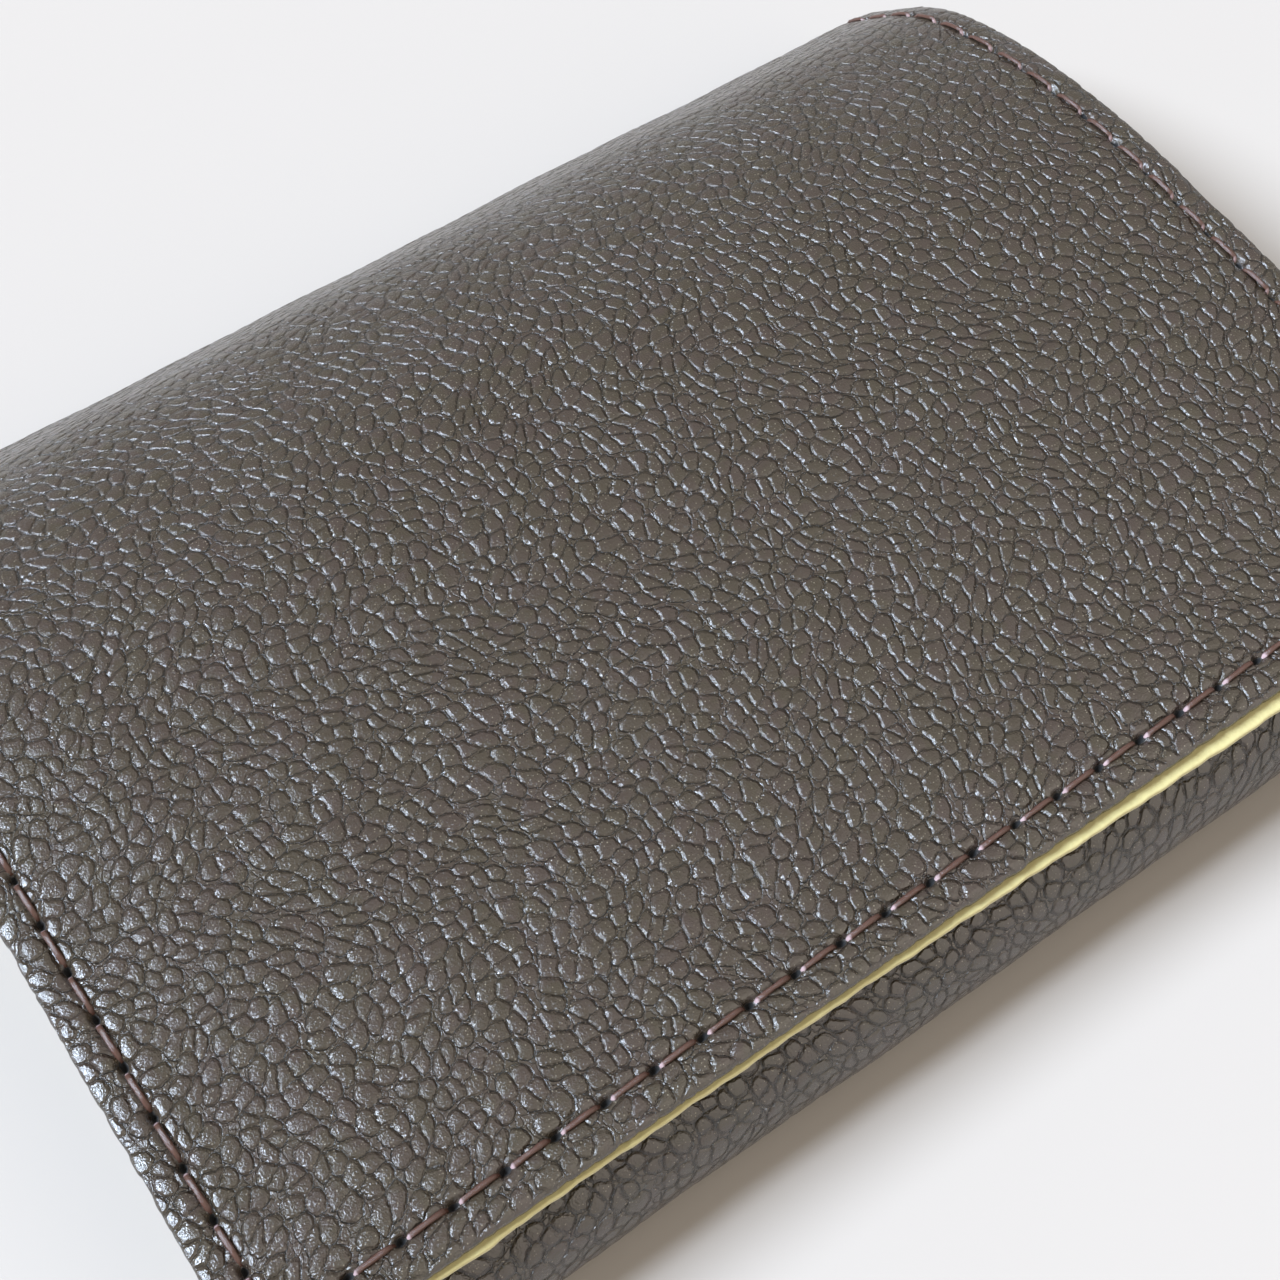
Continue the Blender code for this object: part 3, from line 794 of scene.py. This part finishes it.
liningDepth = layers["leather"] + layers["glue"] + layers["lining"]
flapEnd = flapCut - sideStart
flapHoles = holesBetween(-flapEnd, frontSeam + flapEnd)
flapStitches = makeStitches("flapStitches", flapHoles, flapRow, inside=lambda along: liningDepth + 0 * along)
dress(flapStitches, "thread", thread)
sides = {"Left": -1, "Right": 1}
flangeEnd = knots[7] + runStates[7][0] - runStates[11][0]       # where the gusset's flange starts on the base


# On the base the inner row runs over the lining and then over the gusset's flange.
def innerFace(along):
    s = np.where(along < frontSeam / 2, -along, along - frontSeam) + sideStart
    return liningDepth + (gusset["thickness"] + 0.06) * (s > flangeEnd - 0.5)


spineRows = {k: makeSideRow("spineStitches" + k, v, flapCut - 4, 84.0, inside=innerFace) for k, v in sides.items()}
backRows = {k: makeSideRow("backStitches" + k, v, knots[7] + 4, knots[8] - 4, sunk=0.30, inside=innerFace)
            for k, v in sides.items()}
frontRows = {k: makeSideRow("frontStitches" + k, v, knots[10] - 1, mouthKnot - 0.8) for k, v in sides.items()}

print("inside")
inner = {"boardInset": 4.4, "slipInset": 7.4, "slipThickness": 0.6, "slip": (106.4, 157.9)}


# A plain sheet under the leather: from and to along the fold line, between two depths.
def makeInsideSheet(name, sFrom, sTo, inset, top, thickness, slot, material):
    spec = {"step": 1.6, "columns": 20, "edgeRadius": 0.12, "rimSteps": 2, "inset": inset, "from": sFrom, "to": sTo}
    spec["top"] = lambda x, s: np.full_like(x, top)
    spec["under"] = lambda x, s: np.full_like(x, top + thickness)
    thing = makeSheet(name, spec)[0]
    return dress(thing, slot, *[material] * 3)


board = boardMaterial()
boardTop = layers["leather"] + 0.12
boards = [makeInsideSheet(name, low, high, inner["boardInset"], boardTop, layers["board"], "board", board)
          for name, low, high in (("flapStiffener", 4.9, 38.2), ("backStiffener", knots[7] + 4.6, knots[8] - 4.6),
                                  ("pocketStiffener", knots[10] + 0.3, mouthKnot - 4.6))]
slipTop = liningDepth + layers["boardStep"] + 0.05
slipPocket = makeInsideSheet("slipPocket", *inner["slip"], inner["slipInset"], slipTop, inner["slipThickness"],
                             "lining", liningFace)


# A side wall folded inwards to a soft V: flange on the back panel, half a sine wave in to the tip
# and out again, and flange under the front panel. Each station is that line, thickened both ways.
def makeGusset(name, side):
    frontY, frontZ, frontAngle = runStates[10]
    mouthY = runStates[11][0]
    along = np.linspace(0, 1, gusset["stations"])[:, None]
    y = gusset["from"] + (mouthY - 0.4 - gusset["from"]) * along
    half = gusset["thickness"] / 2
    low = liningDepth + half + 0.03
    high = frontZ + (y - frontY) * math.tan(frontAngle) - (liningDepth + half + 0.03) / math.cos(frontAngle)
    flange = np.linspace(0, 1, gusset["flangeSteps"])[:-1]
    fold = np.linspace(0, 1, gusset["foldSteps"])
    ease = fold - np.sin(4 * math.pi * fold) / (4 * math.pi) * 0.5
    reach = np.sin(math.pi * fold) ** gusset["fullness"]
    x = np.r_[gusset["edge"] + (gusset["root"] - gusset["edge"]) * flange,
              gusset["root"] - (gusset["root"] - gusset["tip"]) * reach,
              (gusset["edge"] + (gusset["root"] - gusset["edge"]) * flange)[::-1]]
    rise = np.r_[0 * flange, ease, 0 * flange + 1]
    inwards = np.r_[0 * flange, reach, 0 * flange]
    x = x[None, :] + gusset["ripple"] * np.sin(0.5 * y + 3 * rise[None, :]) * inwards[None, :]
    z = low + (high - low) * rise[None, :]
    y = y - gusset["recess"] * inwards[None, :] * along ** 2
    dx, dz = np.gradient(x, axis=1), np.gradient(z, axis=1)
    size = np.hypot(dx, dz)
    normalX, normalZ = dz / size * half, -dx / size * half
    ring = [np.concatenate([x + normalX, (x - normalX)[:, ::-1]], 1), np.concatenate([y, y[:, ::-1]], 1),
            np.concatenate([z + normalZ, (z - normalZ)[:, ::-1]], 1)]
    points = np.stack([side * ring[0], ring[1], ring[2]], -1) * metresPerMm
    stations, around = ring[0].shape
    index = np.arange(stations * around).reshape(stations, around)
    near, far = index[:-1], index[1:]
    quads = np.stack([near, np.roll(near, -1, 1), np.roll(far, -1, 1), far], -1).reshape(-1, 4)
    n = x.shape[1]
    k = np.arange(n - 1)
    first, last = index[0], index[-1]
    quads = np.concatenate([quads, np.stack([first[k], first[2 * n - 1 - k], first[2 * n - 2 - k], first[k + 1]], -1),
                            np.stack([last[k], last[k + 1], last[2 * n - 2 - k], last[2 * n - 1 - k]], -1)])
    if side > 0:
        quads = quads[:, ::-1]
    thing = makeMesh(name, points.reshape(-1, 3), quads)
    unrolled = np.cumsum(np.hypot(np.diff(ring[0], axis=1, prepend=ring[0][:, :1]),
                                  np.diff(ring[2], axis=1, prepend=ring[2][:, :1])), 1)
    grain = np.stack([unrolled / pebbles["size"] + 60, ring[1] / pebbles["size"] + 60, 0.5 + 0 * unrolled], -1)
    setAttribute(thing, "grain", grain.reshape(-1, 3))
    setAttribute(thing, "seam", np.tile([0.0, 9.0, 0.0], (points.size // 3, 1)))
    return dress(thing, "leather", leather)


gussets = {k: makeGusset("gusset" + k, v) for k, v in sides.items()}

print("riding")


for piece in (flapLeather, flapLining, flapStitches):
    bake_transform(piece)
for piece in (spineLeather, spineLining, *spineRows.values()):
    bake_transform(piece)
for piece in (pocketLeather, pocketLining):
    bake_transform(piece)
for piece in gussets.values():
    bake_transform(piece)
riders = {"flap": [boards[0]], "case_body": [boards[1], slipPocket, *backRows.values()],
          "front_pocket": [boards[2], *frontRows.values()]}
for body, pieces in riders.items():
    for piece in pieces:
        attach(piece, body)
stands = {
    flapLeather: ["flap_leather"], spineLeather: ["spine_leather", "back_leather"],
    pocketLeather: ["front_pocket_leather"], flapLining: ["flap_lining"],
    spineLining: ["spine_lining", "back_lining"], pocketLining: ["front_pocket_lining"],
    flapStitches: ["flap_stitching"], slipPocket: ["slip_pocket"],
    boards[0]: ["flap_board"], boards[1]: ["back_board"], boards[2]: ["front_pocket_board"],
}
for key, side in (("Left", "left"), ("Right", "right")):
    stands[spineRows[key]] = ["spine_stitching_" + side]
    stands[backRows[key]] = ["back_stitching_" + side]
    stands[frontRows[key]] = ["front_pocket_stitching_" + side]
    stands[gussets[key]] = ["gusset_" + side]
for piece, nodes in stands.items():
    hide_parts(*nodes)

studio = {
    "tableSize": 24.0,
    "window": {"from": (-0.66, 0.26, 0.70), "angle": 23, "strength": 8.5, "colour": (0.70, 0.82, 1.0)},
    "fill": {"from": (0.45, -0.65, 0.55), "angle": 80, "strength": 1.5, "colour": (1.0, 0.92, 0.82)},
    "sky": ((1.0, 0.97, 0.92, 1), 0.36),
}
viewpoint = {
    "place": (-48.1, -69.7, 134.3), "azimuth": 34.44, "elevation": 58.3, "roll": -0.68, "lens": 56.0,
}


def makeTable():
    size = studio["tableSize"]
    bpy.ops.mesh.primitive_plane_add(size=size, location=(0, 0, 0))
    table = bpy.context.object
    table.name = "table"
    table.data.materials.append(tableMaterial())


# A broad soft light from one direction, as wide as its angle in degrees.
def makeLamp(name, facts):
    data = bpy.data.lights.new(name, "SUN")
    data.angle = math.radians(facts["angle"])
    data.energy = facts["strength"]
    data.color = facts["colour"]
    lamp = bpy.data.objects.new(name, data)
    lamp.location = facts["from"]
    lamp.rotation_euler = (-Vector(facts["from"])).to_track_quat("-Z", "Y").to_euler()
    bpy.context.scene.collection.objects.link(lamp)


def makeSky():
    colour, strength = studio["sky"]
    world = bpy.data.worlds.new("sky")
    world.use_nodes = True
    background = world.node_tree.nodes["Background"]
    background.inputs["Color"].default_value = colour
    background.inputs["Strength"].default_value = strength
    bpy.context.scene.world = world


# The camera's axes from its azimuth, elevation and roll: right, up and back.
def makeCamera():
    azimuth, elevation, roll = (math.radians(viewpoint[k]) for k in ("azimuth", "elevation", "roll"))
    forward = Vector((math.sin(azimuth) * math.cos(elevation), math.cos(azimuth) * math.cos(elevation),
                      -math.sin(elevation)))
    level = Vector((math.cos(azimuth), -math.sin(azimuth), 0))
    upright = level.cross(forward)
    right = level * math.cos(roll) + upright * math.sin(roll)
    up = upright * math.cos(roll) - level * math.sin(roll)
    data = bpy.data.cameras.new("camera")
    data.lens = viewpoint["lens"]
    data.sensor_width = 36.0
    data.clip_start = 0.005
    data.dof.use_dof = False
    camera = bpy.data.objects.new("camera", data)
    axes = Matrix((right, up, -forward)).transposed().to_4x4()
    camera.matrix_world = Matrix.Translation(Vector(viewpoint["place"]) * metresPerMm) @ axes
    bpy.context.scene.collection.objects.link(camera)
    bpy.context.scene.camera = camera


print("studio")
makeTable()
makeLamp("window", studio["window"])
makeLamp("fill", studio["fill"])
makeSky()
makeCamera()
bpy.context.scene.view_settings.view_transform = "Standard"
